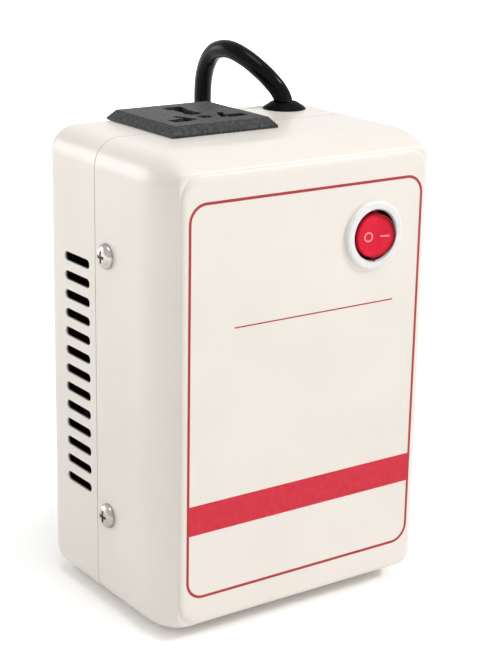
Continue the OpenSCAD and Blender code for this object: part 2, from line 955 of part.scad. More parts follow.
module bobbin() {
    hole_x = leg + bobbin_gap;
    hole_z = stack_h/2 + bobbin_gap;
    color("#2f3a2f")
        union() {
            leg_ring(bobbin_x, bobbin_z, 0, hole_x, hole_z, 0, bobbin_l);
            for (s = [-1, 1])
                translate([0, s*(bobbin_l - bobbin_t)/2, 0])
                    leg_ring(min(bobbin_x + bobbin_flange, 2*leg - 0.3), bobbin_z + bobbin_flange, 0,
                             hole_x, hole_z, 0, bobbin_t);
        }
}

module winding() {
    inner_x = bobbin_x + wire_gap;
    inner_z = bobbin_z + wire_gap;
    color("#b4622d")
        leg_ring(inner_x + wind_t, inner_z + wind_t, wind_r, inner_x, inner_z, 0, wind_l);
}

module winding_tape() {
    inner_x = bobbin_x + 2*wire_gap + wind_t;
    inner_z = bobbin_z + 2*wire_gap + wind_t;
    color("gold")
        leg_ring(inner_x + tape_t, inner_z + tape_t, wind_r + tape_t, inner_x, inner_z, wind_r, wind_l);
}

module core_frame() {
    half = core_w/2;
    fold = half + frame_t;
    color("#a9adb0")
        difference() {
            translate([0, core_front - frame_t, core_mid_z - stack_h/2])
                linear_extrude(stack_h)
                    polygon([
                        [-fold, 0], [fold, 0], [fold, 5*leg], [fold + flange_l, 5*leg],
                        [fold + flange_l, 5*leg + frame_t], [half, 5*leg + frame_t], [half, frame_t],
                        [-half, frame_t], [-half, 5*leg + frame_t], [-fold - flange_l, 5*leg + frame_t],
                        [-fold - flange_l, 5*leg], [-fold, 5*leg]
                    ]);
            at_frame_screws()
                cylinder(d = screw_d + screw_play, h = 3*cut, center = true);
        }
}

module frame_screws() {
    color("silver")
        at_frame_screws()
            pan_screw(screw_l);
}

module frame_nuts() {
    color("lightgray")
        at_frame_screws()
            translate([0, 0, -wall - frame_t - nut_h])
                rotate(30)
                    hex_nut();
}

module thermal_fuse() {
    color("#d9d2c0")
        translate(fuse_at)
            rotate([90, 0, 0]) {
                cylinder(d = fuse_dia, h = fuse_l, center = true);
                cylinder(d = 1, h = fuse_l + 2*fuse_lead, center = true);
            }
}

// Inner wiring: round points between the terminals, in the order of the current
cord_bottom = [gland_x, gland_y, cord_top - cord_in];
tab_end_y = front_y + barrel_l + tab_back;
tab_bottom = top_z - body_h - tab_l;
wire_seat = 0.3;

module live_wire() {
    tab = [switch_x - tab_pitch, tab_end_y + wire_seat, switch_z];
    color("saddlebrown")
        wire([
            cord_bottom + [-1.5, 0, -wire_seat], cord_bottom + [-1.5, 0, -3],
            cord_bottom + [-2, -5, -9], tab + [2, 14, 2], tab + [0, 5, 0], tab
        ]);
}

module neutral_wire() {
    tap = [8, window_mid + 9, tape_top + wire_seat];
    color("royalblue")
        wire([
            cord_bottom + [1.5, 0, -wire_seat], cord_bottom + [1.5, 0, -3], cord_bottom + [1.6, 0, -14],
            tap + [22, 0, 26], tap + [3, 0, 10], tap + [0, 0, 3], tap
        ]);
}

module switch_wire() {
    tab = [switch_x, tab_end_y + wire_seat, switch_z];
    lead = fuse_at - [0, fuse_l/2 + fuse_lead + wire_seat, 0];
    color("saddlebrown")
        wire([
            tab, tab + [0, 4, 0], tab + [-1, 8, -6], lead + [8, -4, 22], lead + [2, -8, 4],
            lead - [0, 3, 0], lead
        ]);
}

module output_live_wire() {
    tab = [plate_x + contact_x, plate_y - power_row, tab_bottom - wire_seat];
    tap = [1, window_mid - 4, tape_top + wire_seat];
    color("firebrick")
        wire([tab, tab - [0, 0, 3], tab - [0, 0, 9], tap + [0, 0, 20], tap + [0, 0, 3], tap]);
}

module output_neutral_wire() {
    tab = [plate_x - contact_x, plate_y - power_row, tab_bottom - wire_seat];
    tap = [-8, window_mid + 2, tape_top + wire_seat];
    color("royalblue")
        wire([tab, tab - [0, 0, 3], tab - [0, 0, 9], tap + [-2, 0, 20], tap + [0, 0, 3], tap]);
}

// Free lead: the stretch from the gland, the coil on the floor behind the case and the end at the plug

coil_mid = [coil_start[0] + coil_r, coil_start[1], coil_start[2]];
turn_half = coil_turns/2;
function coil_radius(t) = coil_r - coil_pitch*(turn_half - abs(t - turn_half));
function drop(t) = let (s = min(max((t - turn_half)*2 + 0.5, 0), 1)) s*s*(3 - 2*s);
function coil_point(t) = let (a = 180 - 360*t)
    coil_mid + [coil_radius(t)*cos(a), coil_radius(t)*sin(a), -layer_step*drop(t)];
end_angle = 180 - 360*coil_turns;
end_way = [sin(end_angle), -cos(end_angle), 0];
coil_end = coil_point(coil_turns) + cord_dia*end_way;
ring_count = ceil(coil_turns*rings_per_turn);
coil_path = concat(
    [coil_start - [0, cord_dia, 0]],
    [for (i = [0:ring_count]) coil_point(coil_turns*i/ring_count)],
    [coil_end]);

// Least gap between stretches of the coil that are over a half turn apart along it
coil_gap = min([for (i = [0:len(coil_path) - 1], j = [i + rings_per_turn/2:1:len(coil_path) - 1])
    norm(coil_path[i] - coil_path[j])]) - cord_dia;
echo(coil_gap = coil_gap);

module cord_lead() {
    color("#141414")
        tube(concat(lead_route, [coil_path[0]]), cord_dia, cord_sides);
}

module cord_coil() {
    color("#141414")
        tube(coil_path, cord_dia, coil_sides);
}

module cord_tail() {
    color("#141414")
        tube(concat([coil_end, coil_end + 2*end_way], tail_route), cord_dia, cord_sides);
}

// Flat tie around the bundle
module cord_tie() {
    passes = [for (t = [0.5:1:coil_turns]) coil_radius(t)];
    inner_low = min(passes) - cord_dia/2 - tie_gap;
    inner_high = max(passes) + cord_dia/2 + tie_gap;
    bottom = coil_start[2] - layer_step - cord_dia/2 - tie_gap;
    height = layer_step + cord_dia + 2*tie_gap;
    color("#202020")
        translate([coil_mid[0], coil_mid[1], bottom])
            rotate([90, 0, tie_angle])
                linear_extrude(tie_w, center = true)
                    difference() {
                        translate([inner_low - tie_t, -tie_t])
                            square([inner_high - inner_low + 2*tie_t, height + 2*tie_t]);
                        translate([inner_low, 0])
                            square([inner_high - inner_low, height]);
                    }
}

// Plug, drawn with its pins along -Y and turned onto the end of the tail
plug_at = tail_route[len(tail_route) - 1];
root_dia = pin_dia - 0.8;
module at_plug() {
    translate(plug_at)
        rotate(-90)
            children();
}

// Strain relief: a taper with ring grooves
module plug_relief() {
    rings = 5;
    pitch = (relief_l - 4)/rings;
    color("#181818")
        at_plug()
            rotate([90, 0, 0])
                difference() {
                    cylinder(d1 = cord_dia + 1.6, d2 = relief_dia, h = relief_l);
                    for (i = [0:rings - 1])
                        translate([0, 0, 2 + i*pitch])
                            difference() {
                                cylinder(d = 2*relief_dia, h = pitch/3);
                                translate([0, 0, -1])
                                    cylinder(d = cord_dia + 0.8, h = cut);
                            }
                }
}

// Flat two-pin plug: hexagonal outline with a waist for the fingers
module plug_body() {
    half = plug_w/2;
    nose = 6;
    color("#1c1c1c")
        at_plug()
            translate([0, -relief_l, -plug_t/2])
                difference() {
                    intersection() {
                        linear_extrude(plug_t)
                            polygon([
                                [-8, 0], [8, 0], [half - 5, -plug_l*0.45], [half, nose - plug_l],
                                [half, -plug_l], [-half, -plug_l], [-half, nose - plug_l],
                                [5 - half, -plug_l*0.45]
                            ]);
                        rotate([90, 0, 90])
                            linear_extrude(2*plug_w, center = true)
                                polygon([
                                    [0, 1.5], [-plug_l*0.45, 1], [nose - plug_l, 0], [-plug_l, 0],
                                    [-plug_l, plug_t], [nose - plug_l, plug_t],
                                    [-plug_l*0.45, plug_t - 1], [0, plug_t - 1.5]
                                ]);
                        rotate([90, 0, 0])
                            linear_extrude(4*plug_l, center = true)
                                polygon([
                                    [-half, plug_t*0.3], [-half + 3, 0], [half - 3, 0],
                                    [half, plug_t*0.3], [half, plug_t*0.7], [half - 3, plug_t],
                                    [3 - half, plug_t], [-half, plug_t*0.7]
                                ]);
                    }
                    for (s = [-1, 1])
                        translate([s*pin_pitch/2, 0, plug_t/2])
                            rotate([90, 0, 0])
                                cylinder(d = root_dia + 2*touch, h = 3*plug_l, center = true);
                }
}

module plug_pins() {
    root = 12;
    nose = 1;
    color("#c9b26a")
        at_plug()
            for (s = [-1, 1])
                translate([s*pin_pitch/2, -relief_l - plug_l, 0])
                    rotate([90, 0, 0]) {
                        translate([0, 0, -root])
                            cylinder(d = root_dia, h = root + nose);
                        translate([0, 0, touch])
                            cylinder(d = pin_dia, h = pin_l - nose - touch);
                        translate([0, 0, pin_l - nose])
                            cylinder(d1 = pin_dia, d2 = pin_dia - 1.2, h = nose);
                    }
}

front_shell();
rear_shell();
case_screws();
case_nuts();
feet();
socket_plate();
socket_base();
socket_screw();
live_contact();
neutral_contact();
earth_contact();
switch_body();
switch_rocker();
switch_plunger();
switch_lever();
switch_terminals();
switch_lamp();
cord_gland();
cord_end();
core_e();
core_i();
bobbin();
winding();
winding_tape();
core_frame();
frame_screws();
frame_nuts();
thermal_fuse();
live_wire();
neutral_wire();
switch_wire();
output_live_wire();
output_neutral_wire();
cord_lead();
cord_coil();
cord_tail();
cord_tie();
plug_body();
plug_relief();
plug_pins();
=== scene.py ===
"""Travel voltage converter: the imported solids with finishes, printed panel, lead and studio."""

import json
import math

import bpy
from mathutils import Matrix, Vector

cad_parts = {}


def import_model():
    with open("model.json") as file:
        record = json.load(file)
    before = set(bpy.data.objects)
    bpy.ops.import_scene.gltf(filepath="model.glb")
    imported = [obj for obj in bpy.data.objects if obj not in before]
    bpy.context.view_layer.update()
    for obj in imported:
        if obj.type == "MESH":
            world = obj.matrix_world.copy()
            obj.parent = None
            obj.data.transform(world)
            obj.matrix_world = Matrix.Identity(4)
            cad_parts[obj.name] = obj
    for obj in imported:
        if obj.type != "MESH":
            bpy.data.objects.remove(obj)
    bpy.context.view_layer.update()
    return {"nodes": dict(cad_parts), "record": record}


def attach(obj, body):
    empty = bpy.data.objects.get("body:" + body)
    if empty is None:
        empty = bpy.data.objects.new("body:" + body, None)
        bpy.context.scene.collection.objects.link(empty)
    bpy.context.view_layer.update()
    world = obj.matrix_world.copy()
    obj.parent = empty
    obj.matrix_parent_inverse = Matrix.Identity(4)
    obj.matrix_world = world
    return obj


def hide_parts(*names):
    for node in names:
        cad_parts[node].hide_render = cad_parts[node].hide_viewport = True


MM = 0.001

# Places in the frame, in millimetres
FRONT_Y = -38.17
CASE_W = 108
CASE_H = 160.5
CASE_MID_Z = 81.85
CORNER_R = 9
WALL = 1
BACK_Y = 40.33
SWITCH_X = 26
SWITCH_Z = 130.1
WELL_R = 8.5

# Dark primer inside the case, near black as painted shade seen through the vents: where it starts
# behind the front, and its edge as shares of the wall
PRIMER_SHADE_FROM_Y = -21
PRIMER_SHADE_FADE = 0.5
PRIMER_SHADE_FULL = 0.8
PRIMER_SHADE_NONE = 0.4

# Well of the switch, with painted shade tinted by painted red light from the rocker: its edge outside
# the well's radius
WELL_SHADE_TO = 0.02
WELL_WHITE_FROM = 0.06

# Camera that matches the photograph's view
CAMERA_AT = (-318.56, -453.85, 260.95)
CAMERA_TURN = 35.05
CAMERA_DOWN = 17.18
CAMERA_ROLL = 0.97
CAMERA_LENS = 89.81
CAMERA_SENSOR = 36
CAMERA_FAR = 20

# Light from all around, and lamps: place, aim and size in metres, power in watts, and tint
WORLD_LEVEL = 0.52
PLAIN_WHITE = (1, 1, 1)
COOL_WHITE = (0.93, 0.98, 1)
LAMPS = {
    "top_light": ((-0.05, -0.22, 1.3), (0, 0, 0.1), 0.6, 5.1, COOL_WHITE),
    "front_light": ((1.4, -1.85, 0.3), (0, 0, 0.08), 1.1, 6.2, PLAIN_WHITE),
    "right_light": ((2.01, -1.57, 2.09), (0, 0, 0.15), 0.52, 35.5, PLAIN_WHITE),
    "side_light": ((-1.6, 2.2, 0.6), (0, 0, 0.08), 1.4, 19, PLAIN_WHITE),
}

# Floor in metres: its size, where its own glow starts and is full, and its greys
FLOOR_SIZE = 8
GLOW_FROM = 0.2
GLOW_FULL = 0.8
FLOOR_GREY = 0.9
FLOOR_PALER = 0.4
FLOOR_ROUGH = 0.95

# Print on the front panel
PRINT_LIFT = 0.03
OUTLINE_W = 92.4
OUTLINE_LOW = 16.1
OUTLINE_HIGH = 148.1
OUTLINE_R = 6.5
OUTLINE_CORNER_STEPS = 14
OUTLINE_LINE = 0.95
BAND_LOW = 38.5
BAND_HIGH = 48.8
RULE_LEFT = -29
RULE_RIGHT = 35.6
RULE_Z = 106.6
RULE_LINE = 0.45

# Rocker, the painted shade at its rim and its marks
ROCKER_MID = 2.6
ROCKER_TILT = 12
ROCKER_VEE = 5
SHADE_RIM_FROM = 6.2
SHADE_RIM_TO = 7.8
SHADE_RIM_SHIFT = -2
MARK_OFF_MIDDLE = 3
MARK_RING_R = 1.7
MARK_RING_SIDES = 40
MARK_LINE = 0.5
MARK_DASH = 3.3

# Turned pieces
MERGE_BELOW = 0.0001
SMOOTH_BELOW = math.radians(35)

# Side screws
SCREW_Y = -0.97
SCREW_LEVELS = (34.6, 125.1)
SCREW_HEAD_R = 4.3
SCREW_HEAD_H = 2.4
SCREW_DOME_POWER = 2.7
SCREW_DOME_RINGS = 14
SCREW_SIDES = 64
SHANK_R = 1.97
SHANK_L = 8
SHANK_IN_HEAD = 0.6
SHANK_SIDES = 40
RECESS_L = 4.1
RECESS_W = 1.1
RECESS_DEEP = 1.3

# Gland, with its section as radius and height above the case
GLAND_AT = (35, 25.08, 162.1)
GLAND_SIDES = 72
GLAND_SECTION = [
    (3.4, -3.4), (6.3, -3.4), (7.3, -1.05), (5.9, -1.05), (5.9, 0.05), (7.65, 0.05), (7.75, 0.12),
    (7.65, 0.3), (6.4, 1.35), (4.95, 2.3), (4.6, 2.46), (4.2, 2.52), (3.9, 2.45), (3.4, 0),
]

# Lead
CORD_DIAMETER = 6.6
CORD_ROUND = 6
CORD_STEPS = 6
CORD_SEEN = [
    (35, 25.1, 158.6), (35, 25.1, 161.5), (34.9, 25.1, 164), (33.8, 25.9, 167.5), (31, 28.1, 172),
    (28, 32.1, 176.3), (25.6, 37.7, 179.7), (24.2, 43.9, 181.4), (23.9, 49.4, 181),
    (24.2, 54.4, 179.2), (24.7, 58.9, 175.4), (25.6, 62.6, 170.4), (26.8, 65.3, 164.8),
    (28.2, 67.5, 158.8), (30, 69.9, 150), (32, 72.1, 139), (33.5, 73.5, 124), (34.2, 74.1, 104),
    (34.5, 74.4, 84), (35, 74.8, 64), (35, 75, 44), (35, 76.5, 32), (35, 81, 22),
    (35, 88.5, 15), (35, 95, 12.3), (35, 100, 11.8),
]
CORD_LAST = [
    (66, 68, 4.7), (61, 68, 5.2), (56, 68, 6), (51.5, 68, 6.7), (47.5, 68, 6.9), (45, 68, 6.9),
]
COIL_START = (35, 110, 11.8)
COIL_TURNS = 3.75
COIL_RADIUS = 42
COIL_PITCH = 7.1
COIL_STEP = 7.1
RINGS_PER_TURN = 24


def deselect_all():
    bpy.ops.object.select_all(action="DESELECT")


def make_active(piece):
    deselect_all()
    piece.select_set(True)
    bpy.context.view_layer.objects.active = piece


def put_in_mesh(piece):
    """Moves a piece's place, turn and scale into its mesh."""
    make_active(piece)
    bpy.ops.object.transform_apply(location=True, rotation=True, scale=True)


# Materials

# Where a noise starts and ends its change between two colours
CLOUDED = (0.35, 0.7)
PATCHY = (0.3, 0.75)
POLISHED = (0.3, 0.7)

# Clouds and sheen of a moulded finish, as shares of its grain
CLOUDS_PER_GRAIN = 0.4
SHEEN_PER_GRAIN = 0.7

# Roughness of a striped finish, below and above its own value
STRIPE_SMOOTHER = 0.06
STRIPE_ROUGHER = 0.08

# Colour sockets of a mix node
MIX_FIRST = 6
MIX_SECOND = 7
MIX_RESULT = 2

SOCKETS = {
    "metallic": "Metallic",
    "specular": "Specular IOR Level",
    "roughness": "Roughness",
    "base_color": "Base Color",
    "coat_weight": "Coat Weight",
    "coat_roughness": "Coat Roughness",
    "transmission_weight": "Transmission Weight",
}


def add_seen_rays(nodes, links):
    path = nodes.new("ShaderNodeLightPath")
    total = path.outputs["Is Camera Ray"]
    for other in ("Is Glossy Ray", "Is Transmission Ray"):
        either = nodes.new("ShaderNodeMath")
        either.operation = "MAXIMUM"
        links.new(total, either.inputs[0])
        links.new(path.outputs[other], either.inputs[1])
        total = either.outputs["Value"]
    return total


class Finish:
    """A material under construction, with short ways to add nodes and links."""

    def __init__(self, name):
        self.material = bpy.data.materials.new(name)
        self.material.use_nodes = True
        self.nodes = self.material.node_tree.nodes
        self.links = self.material.node_tree.links
        self.shader = self.nodes["Principled BSDF"]
        self.place = self.nodes.new("ShaderNodeTexCoord").outputs["Object"]

    def set(self, **values):
        for name, value in values.items():
            self.shader.inputs[SOCKETS[name]].default_value = value

    def node(self, kind, **inputs):
        made = self.nodes.new(kind)
        for socket, value in inputs.items():
            made.inputs[socket].default_value = value
        return made

    def noise(self, scale, detail=2):
        made = self.node("ShaderNodeTexNoise", Scale=scale, Detail=detail)
        self.links.new(self.place, made.inputs["Vector"])
        return made.outputs["Fac"]

    def spread(self, value, low, high):
        """A grey value from 0 to 1 moved to the range low to high."""
        return self.ramp(value, 0, 1, low, high)

    def ramp(self, value, start, end, low, high):
        """A value moved from one range to another and held at its ends."""
        made = self.nodes.new("ShaderNodeMapRange")
        made.inputs["From Min"].default_value = start
        made.inputs["From Max"].default_value = end
        made.inputs["To Min"].default_value = low
        made.inputs["To Max"].default_value = high
        self.links.new(value, made.inputs["Value"])
        return made.outputs["Result"]

    def vector(self, operation, first, second=None):
        made = self.nodes.new("ShaderNodeVectorMath")
        made.operation = operation
        self.links.new(first, made.inputs[0])
        if second is not None:
            made.inputs[1].default_value = second
        return made.outputs["Value" if operation == "LENGTH" else "Vector"]

    def times(self, first, second):
        made = self.nodes.new("ShaderNodeMath")
        made.operation = "MULTIPLY"
        self.links.new(first, made.inputs[0])
        self.links.new(second, made.inputs[1])
        return made.outputs["Value"]

    def depth_in_frame(self):
        made = self.nodes.new("ShaderNodeSeparateXYZ")
        self.links.new(self.place, made.inputs["Vector"])
        return made.outputs["Y"]

    def mix_by(self, value, first, second):
        """One colour socket or the other, by a grey value."""
        made = self.nodes.new("ShaderNodeMix")
        made.data_type = "RGBA"
        self.links.new(value, made.inputs["Factor"])
        self.links.new(first, made.inputs[MIX_FIRST])
        self.links.new(second, made.inputs[MIX_SECOND])
        return made.outputs[MIX_RESULT]

    def seen_rays(self):
        """One for rays from the camera, mirrors and glass, and zero for light on the object."""
        return add_seen_rays(self.nodes, self.links)

    def between(self, value, first, second, start=0.0, end=1.0):
        """A colour between two, by a grey value."""
        made = self.nodes.new("ShaderNodeValToRGB")
        made.color_ramp.elements[0].position = start
        made.color_ramp.elements[1].position = end
        made.color_ramp.elements[0].color = (*first, 1)
        made.color_ramp.elements[1].color = (*second, 1)
        self.links.new(value, made.inputs["Fac"])
        return made.outputs["Color"]

    def bump(self, height, depth, strength):
        made = self.node("ShaderNodeBump", Strength=strength, Distance=depth)
        self.links.new(height, made.inputs["Height"])
        self.links.new(made.outputs["Normal"], self.shader.inputs["Normal"])

    def colour(self, socket):
        self.links.new(socket, self.shader.inputs["Base Color"])

    def rough(self, socket):
        self.links.new(socket, self.shader.inputs["Roughness"])


def inside_walls(f):
    """One on the inner faces of the case's straight walls and back, and zero outside."""
    moved = f.vector("SUBTRACT", f.place, (0, 0, CASE_MID_Z*MM))
    folded = f.vector("ABSOLUTE", moved)
    core = ((CASE_W/2 - CORNER_R)*MM, (BACK_Y - CORNER_R)*MM, (CASE_H/2 - CORNER_R)*MM)
    past_core = f.vector("MAXIMUM", f.vector("SUBTRACT", folded, core), (0, 0, 0))
    reach = f.vector("LENGTH", past_core)
    full = (CORNER_R - PRIMER_SHADE_FULL*WALL)*MM
    none = (CORNER_R - PRIMER_SHADE_NONE*WALL)*MM
    inner = f.ramp(reach, full, none, 1, 0)
    start = PRIMER_SHADE_FROM_Y*MM
    behind = f.ramp(f.depth_in_frame(), start, start + PRIMER_SHADE_FADE*MM, 0, 1)
    return f.times(inner, behind)


def paint_ivory():
    """Gloss stove enamel on steel, with faint clouding and orange peel, and a dark primer inside that
    is near black as painted shade.
    """
    f = Finish("ivory_enamel")
    f.set(coat_weight=0.25, coat_roughness=0.2)
    enamel = f.between(
        f.noise(28, detail=3), (0.815, 0.750, 0.675), (0.850, 0.788, 0.714), *CLOUDED)
    # Primer on the inner faces, near black as painted shade seen through the vents
    primer_and_shade = f.between(
        f.noise(90, detail=3), (0.010, 0.010, 0.011), (0.020, 0.020, 0.021), *CLOUDED)
    f.colour(f.mix_by(inside_walls(f), enamel, primer_and_shade))
    f.rough(f.spread(f.noise(160, detail=3), low=0.30, high=0.42))
    f.bump(f.noise(700), depth=0.00004, strength=0.35)
    return f.material


def ink_red(name, first, second):
    """Screen-printed ink with a slightly uneven cover."""
    f = Finish(name)
    f.set(specular=0.12)
    f.colour(f.between(f.noise(420, detail=3), first, second, *PATCHY))
    f.rough(f.spread(f.noise(260), low=0.34, high=0.46))
    f.bump(f.noise(1100), depth=0.00002, strength=0.3)
    return f.material


def moulded(name, first, second, grain, depth, low, high, specular=0.5):
    """Moulded plastic or rubber with a fine grain."""
    f = Finish(name)
    f.set(specular=specular)
    f.colour(f.between(f.noise(grain*CLOUDS_PER_GRAIN, detail=3), first, second, *CLOUDED))
    f.rough(f.spread(f.noise(grain*SHEEN_PER_GRAIN, detail=3), low, high))
    f.bump(f.noise(grain, detail=3), depth, strength=0.6)
    return f.material


def plated(name, first, second, low, high):
    """Plated metal with fine streaks of polish."""
    f = Finish(name)
    f.set(metallic=1.0)
    f.colour(f.between(f.noise(300, detail=4), first, second, *POLISHED))
    f.rough(f.spread(f.noise(900, detail=3), low, high))
    f.bump(f.noise(1600), depth=0.00001, strength=0.4)
    return f.material


def striped(name, first, second, axis, lines, depth, metallic, roughness):
    """Thin lines along an axis: stacked sheets or wound wire."""
    f = Finish(name)
    f.set(metallic=metallic)
    wave = f.node("ShaderNodeTexWave", Scale=lines, Distortion=0.4, Detail=1.0)
    wave.bands_direction = axis
    f.links.new(f.place, wave.inputs["Vector"])
    f.colour(f.between(wave.outputs["Fac"], first, second))
    f.rough(f.spread(f.noise(400), roughness - STRIPE_SMOOTHER, roughness + STRIPE_ROUGHER))
    f.bump(wave.outputs["Fac"], depth, strength=0.7)
    return f.material


def off_switch(f, shift=0):
    """Distance from a line along the switch, its middle line or one beside it."""
    across = f.vector("MULTIPLY", f.place, (1, 0, 1))
    middle = ((SWITCH_X + shift)*MM, 0, SWITCH_Z*MM)
    return f.vector("LENGTH", f.vector("SUBTRACT", across, middle))


def rocker_red():
    """Clear red moulding, cloudy from the light inside it, with painted shade at its rim that lies
    mostly on its right side.
    """
    f = Finish("rocker_red")
    f.set(specular=0.06)
    red = f.between(
        f.noise(150, detail=3), (0.750, 0.018, 0.042), (0.850, 0.026, 0.060), *CLOUDED)
    rim_shade = f.between(
        f.noise(150, detail=3), (0.120, 0.004, 0.005), (0.160, 0.006, 0.007), *CLOUDED)
    # Painted shade on the rocker's rim, darkest on its right because the middle line is moved left
    in_rim_shade = f.ramp(off_switch(f, SHADE_RIM_SHIFT), SHADE_RIM_FROM*MM, SHADE_RIM_TO*MM, 0, 1)
    f.colour(f.mix_by(in_rim_shade, red, rim_shade))
    f.rough(f.spread(f.noise(300), low=0.2, high=0.3))
    f.bump(f.noise(800), depth=0.00002, strength=0.3)
    return f.material


def switch_shell():
    """White gloss bezel on a housing whose well has painted shade tinted by painted red light from the
    rocker.
    """
    f = Finish("switch_white")
    white = f.between(
        f.noise(360, detail=3), (0.80, 0.80, 0.79), (0.85, 0.85, 0.84), *CLOUDED)
    # Painted shade in the switch's well, tinted red as painted light from the rocker
    well_shade_red = f.between(
        f.noise(300, detail=3), (0.220, 0.024, 0.022), (0.280, 0.032, 0.030), *CLOUDED)
    edge = ((WELL_R + WELL_SHADE_TO)*MM, (WELL_R + WELL_WHITE_FROM)*MM)
    f.colour(f.mix_by(f.ramp(off_switch(f), *edge, 0, 1), well_shade_red, white))
    f.rough(f.spread(f.noise(600, detail=3), low=0.2, high=0.3))
    f.bump(f.noise(900, detail=3), depth=0.00002, strength=0.5)
    return f.material


def sheath_black():
    """Gloss black sheath of a mains lead."""
    f = Finish("sheath_black")
    f.set(specular=0.09)
    black = f.between(
        f.noise(220, detail=3), (0.0010, 0.0014, 0.0018), (0.0026, 0.0031, 0.0037), *CLOUDED)
    f.colour(black)
    f.rough(f.spread(f.noise(180, detail=3), low=0.13, high=0.2))
    f.bump(f.noise(500), depth=0.00005, strength=0.4)
    return f.material


def lamp_glass():
    f = Finish("lamp_glass")
    f.set(transmission_weight=0.8)
    f.colour(f.between(f.noise(300), (0.9, 0.45, 0.2), (0.95, 0.6, 0.35)))
    f.rough(f.spread(f.noise(300), low=0.05, high=0.1))
    return f.material


# Moulded finishes: two colours, grain, its depth in metres, lowest and highest roughness, specular
MOULDED = {
    "foot_rubber": (
        (0.014, 0.014, 0.014), (0.03, 0.03, 0.03), 900, 0.00006, 0.7, 0.85),
    "outlet_grey": (
        (0.013, 0.014, 0.015), (0.062, 0.063, 0.066), 2600, 0.00012, 0.4, 0.56, 0.2),
    "base_plastic": (
        (0.5, 0.47, 0.41), (0.58, 0.55, 0.5), 800, 0.00004, 0.5, 0.65),
    "plunger_nylon": (
        (0.7, 0.67, 0.6), (0.78, 0.76, 0.7), 900, 0.00003, 0.4, 0.5),
    "gland_rubber": (
        (0.0018, 0.0020, 0.0024), (0.004, 0.0044, 0.005), 700, 0.00005, 0.4, 0.55, 0.04),
    "bobbin_nylon": (
        (0.02, 0.035, 0.02), (0.035, 0.05, 0.035), 600, 0.00004, 0.45, 0.6),
    "tape_yellow": (
        (0.68, 0.42, 0.03), (0.78, 0.52, 0.06), 500, 0.00004, 0.25, 0.4),
    "fuse_cream": (
        (0.62, 0.58, 0.46), (0.72, 0.68, 0.58), 700, 0.00004, 0.5, 0.65),
    "wire_brown": (
        (0.09, 0.03, 0.01), (0.14, 0.055, 0.02), 500, 0.00003, 0.3, 0.42),
    "wire_blue": (
        (0.01, 0.03, 0.22), (0.02, 0.05, 0.32), 500, 0.00003, 0.3, 0.42),
    "wire_red": (
        (0.3, 0.01, 0.01), (0.42, 0.02, 0.02), 500, 0.00003, 0.3, 0.42),
    "plug_black": (
        (0.005, 0.005, 0.006), (0.012, 0.012, 0.013), 900, 0.00005, 0.4, 0.55, 0.25),
    "tie_black": (
        (0.008, 0.008, 0.008), (0.016, 0.016, 0.016), 800, 0.00005, 0.5, 0.65, 0.25),
}

# Metal finishes: two colours, lowest and highest roughness
PLATED = {
    "screw_nickel": ((0.36, 0.335, 0.31), (0.54, 0.51, 0.475), 0.16, 0.28),
    "nut_steel": ((0.05, 0.05, 0.052), (0.09, 0.09, 0.093), 0.40, 0.55),
    "contact_brass": ((0.62, 0.42, 0.14), (0.75, 0.55, 0.22), 0.25, 0.4),
    "lever_copper": ((0.6, 0.3, 0.15), (0.72, 0.42, 0.25), 0.2, 0.35),
    "terminal_tin": ((0.6, 0.6, 0.58), (0.72, 0.72, 0.7), 0.3, 0.45),
    # frame_zinc: colours of black paint rather than zinc, near black also as painted shade seen through
    # the vents
    "frame_zinc": ((0.05, 0.052, 0.055), (0.09, 0.092, 0.095), 0.45, 0.6),
    "pin_nickel": ((0.66, 0.64, 0.6), (0.8, 0.78, 0.74), 0.18, 0.3),
}

# Striped finishes: two colours, axis, lines, their depth in metres, metal share, roughness
STRIPED = {
    "core_steel": ((0.03, 0.03, 0.032), (0.08, 0.08, 0.085), "Z", 314, 0.0001, 0.6, 0.6),
    "winding_copper": ((0.25, 0.08, 0.02), (0.6, 0.26, 0.1), "Y", 330, 0.0003, 0.9, 0.32),
}


def finishes():
    """Every material slot of the record with its material."""
    made = {
        "case_paint": paint_ivory(),
        "switch_white": switch_shell(),
        "rocker_red": rocker_red(),
        "lamp_glass": lamp_glass(),
        "cord_black": sheath_black(),
    }
    for make, table in ((moulded, MOULDED), (plated, PLATED), (striped, STRIPED)):
        for slot, values in table.items():
            made[slot] = make(slot, *values)
    return made


def dress_nodes(frame, paint):
    for part in frame["record"]["subparts"]:
        mesh = frame["nodes"][part["node"]].data
        mesh.materials.clear()
        mesh.materials.append(paint[part["material_slot"]])


# Lead


def coil_point(turn):
    """A point on the coil, counted in turns from where the lead joins it."""
    half = COIL_TURNS/2
    radius = COIL_RADIUS - COIL_PITCH*(half - abs(turn - half))
    s = min(max((turn - half)*2 + 0.5, 0), 1)
    angle = math.radians(180 - 360*turn)
    x, y, z = COIL_START
    return (
        x + COIL_RADIUS + radius*math.cos(angle),
        y + radius*math.sin(angle),
        z - COIL_STEP*s*s*(3 - 2*s),
    )


def cord_route():
    rings = math.ceil(COIL_TURNS*RINGS_PER_TURN)
    coil = [coil_point(COIL_TURNS*i/rings) for i in range(rings + 1)]
    x, y, z = COIL_START
    start = (x, y - CORD_DIAMETER, z)
    end = (coil[-1][0] - CORD_DIAMETER, coil[-1][1], coil[-1][2])
    return CORD_SEEN + [start] + coil + [end] + CORD_LAST


